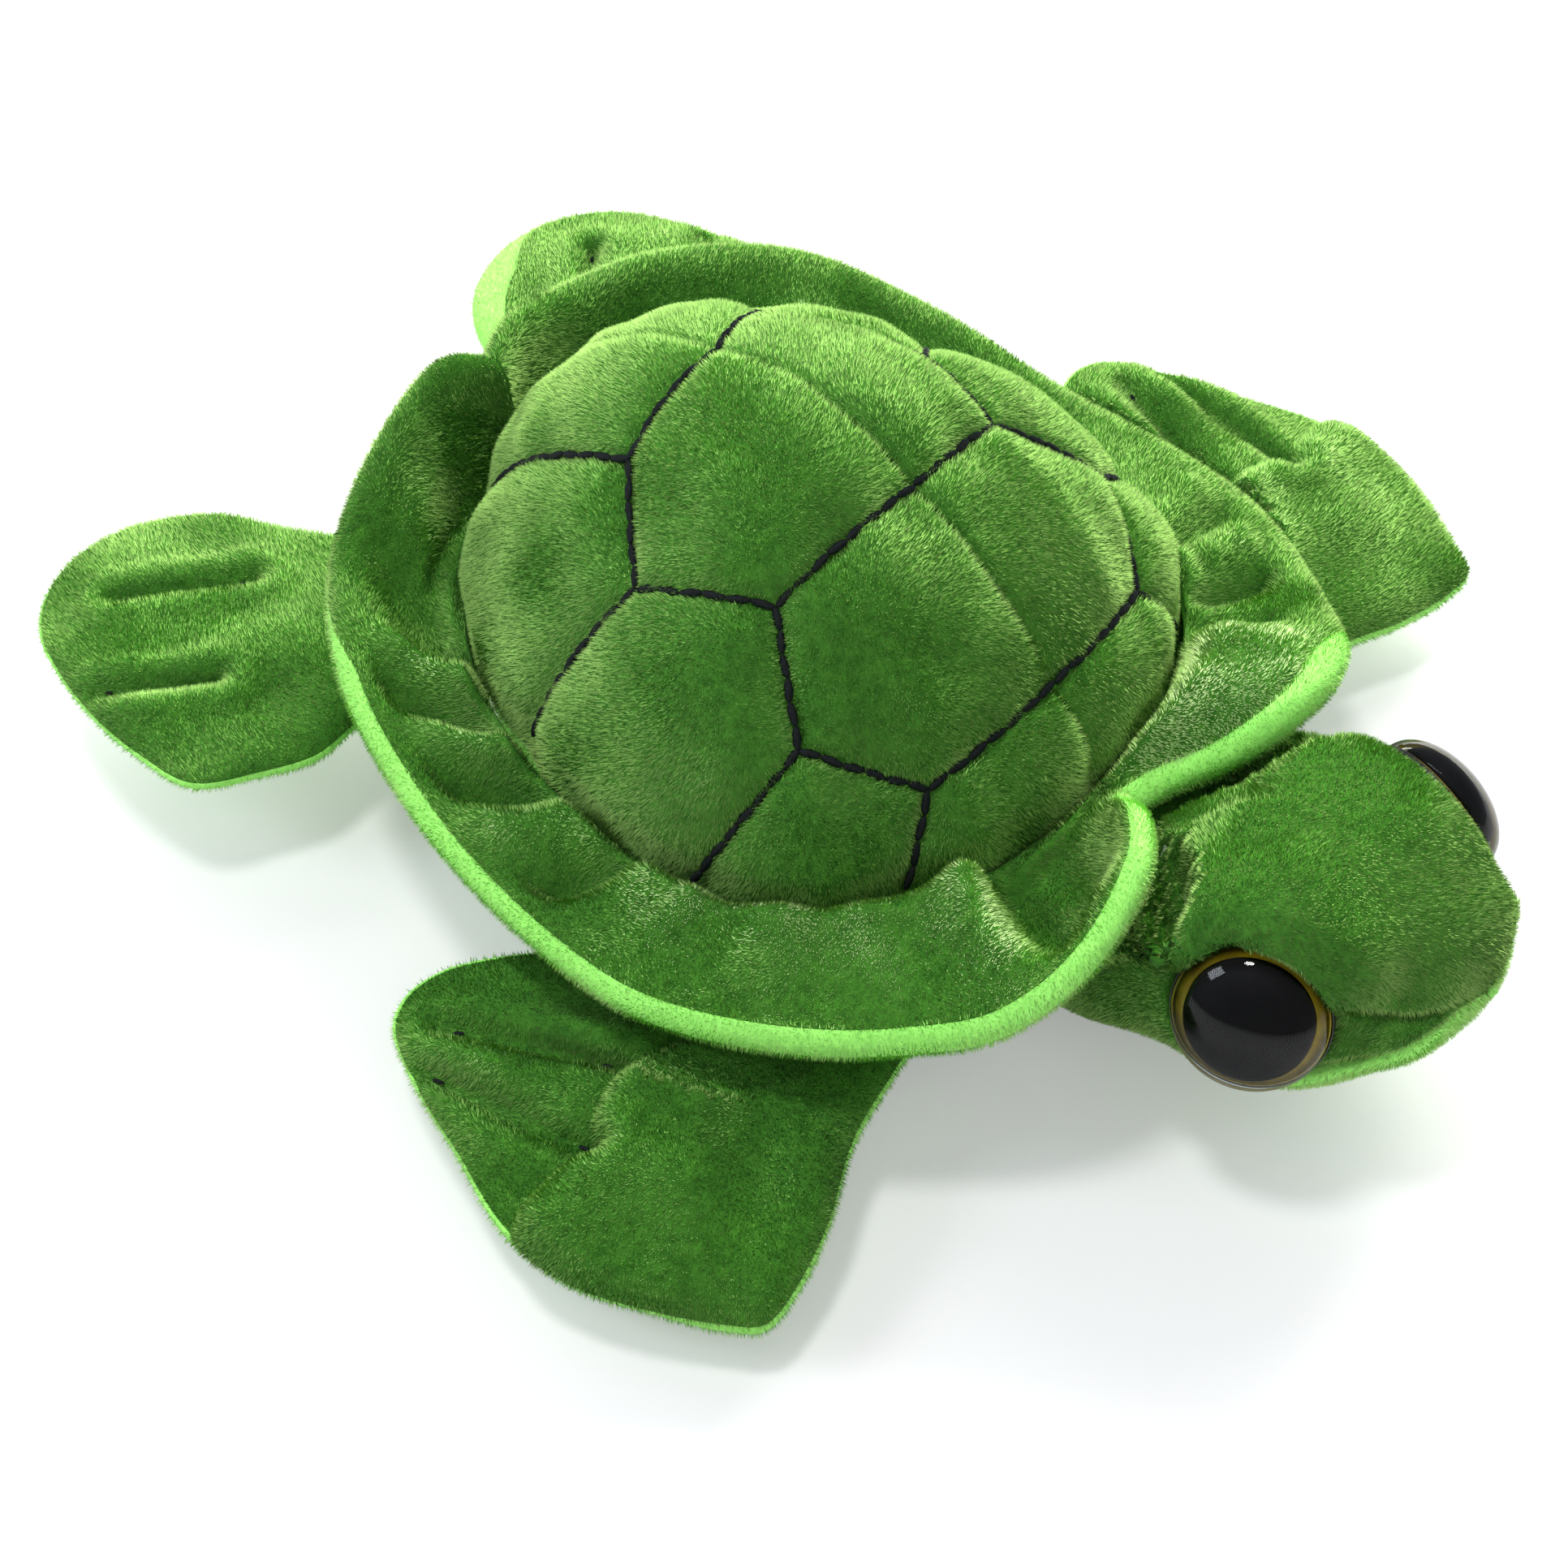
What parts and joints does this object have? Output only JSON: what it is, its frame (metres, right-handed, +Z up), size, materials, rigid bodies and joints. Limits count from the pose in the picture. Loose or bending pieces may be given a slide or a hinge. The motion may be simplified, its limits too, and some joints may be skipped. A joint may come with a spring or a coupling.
{
  "type": "plush turtle",
  "caption": "Stuffed sea turtle in short pile fabric, with a domed embroidered shell, a turned-up shell rim, a nodding head with domed eyes and flapping flippers.",
  "frame": {"origin": "middle of the shell's width and length, on the flat underside of the belly", "axes": "+Z up from the belly, +Y towards the tail, so the head points to -Y and the turtle's left side is +X"},
  "size_m": [0.2322, 0.257, 0.0867],
  "materials": {
    "shell_plush": "short pile plush, mid green, brushed",
    "green_plush": "short pile plush, leaf green",
    "lime_plush": "short pile plush, bright lime",
    "stuffing": "polyester fibre fill",
    "thread": "black embroidery thread with a soft sheen",
    "eye_lens": "clear polished acrylic",
    "eye_iris": "gold lacquer",
    "eye_black": "black moulded plastic",
    "eye_washer": "natural white plastic"
  },
  "bodies": {
    "body": {"shell_panel_left": "shell_plush", "shell_panel_right": "shell_plush", "belly_panel": "lime_plush", "rim_top_left": "green_plush", "rim_top_right": "green_plush", "rim_underside_left": "lime_plush", "rim_underside_right": "lime_plush", "body_stuffing": "stuffing", "scute_embroidery": "thread"},
    "head": {"head_crown": "green_plush", "head_side_left": "green_plush", "head_side_right": "green_plush", "head_chin": "lime_plush", "head_stuffing": "stuffing", "eye_lens_left": "eye_lens", "eye_iris_left": "eye_iris", "eye_pupil_left": "eye_black", "eye_back_left": "eye_black", "eye_washer_left": "eye_washer", "eye_lens_right": "eye_lens", "eye_iris_right": "eye_iris", "eye_pupil_right": "eye_black", "eye_back_right": "eye_black", "eye_washer_right": "eye_washer"},
    "front_flipper_left": {"front_flipper_left_top": "green_plush", "front_flipper_left_underside": "lime_plush", "front_flipper_left_stuffing": "stuffing", "front_flipper_left_stitch_1": "thread", "front_flipper_left_stitch_2": "thread"},
    "front_flipper_right": {"front_flipper_right_top": "green_plush", "front_flipper_right_underside": "lime_plush", "front_flipper_right_stuffing": "stuffing", "front_flipper_right_stitch_1": "thread", "front_flipper_right_stitch_2": "thread"},
    "hind_flipper_left": {"hind_flipper_left_top": "green_plush", "hind_flipper_left_underside": "lime_plush", "hind_flipper_left_stuffing": "stuffing", "hind_flipper_left_stitch_1": "thread", "hind_flipper_left_stitch_2": "thread"},
    "hind_flipper_right": {"hind_flipper_right_top": "green_plush", "hind_flipper_right_underside": "lime_plush", "hind_flipper_right_stuffing": "stuffing", "hind_flipper_right_stitch_1": "thread", "hind_flipper_right_stitch_2": "thread"}
  },
  "joints": [
    {"name": "head_nod", "type": "hinge", "parent": "body", "child": "head", "pos_m": [0, -0.06005, 0.019], "axis": [1, 0, 0], "range_deg": [-8, 10], "stiffness_Nm_per_rad": 0.5},
    {"name": "front_flipper_left_flap", "type": "hinge", "parent": "body", "child": "front_flipper_left", "pos_m": [0.05, -0.04005, 0.016], "axis": [-0.5402, -0.8415, 0], "range_deg": [-4, 12], "stiffness_Nm_per_rad": 0.15},
    {"name": "front_flipper_right_flap", "type": "hinge", "parent": "body", "child": "front_flipper_right", "pos_m": [-0.05, -0.04005, 0.016], "axis": [-0.5402, 0.8415, 0], "range_deg": [-4, 12], "stiffness_Nm_per_rad": 0.15},
    {"name": "hind_flipper_left_flap", "type": "hinge", "parent": "body", "child": "hind_flipper_left", "pos_m": [0.024, 0.05305, 0.017], "axis": [0.7501, -0.6613, 0], "range_deg": [-8, 12], "stiffness_Nm_per_rad": 0.15},
    {"name": "hind_flipper_right_flap", "type": "hinge", "parent": "body", "child": "hind_flipper_right", "pos_m": [-0.024, 0.05305, 0.017], "axis": [0.7501, 0.6613, 0], "range_deg": [-8, 12], "stiffness_Nm_per_rad": 0.15}
  ]
}
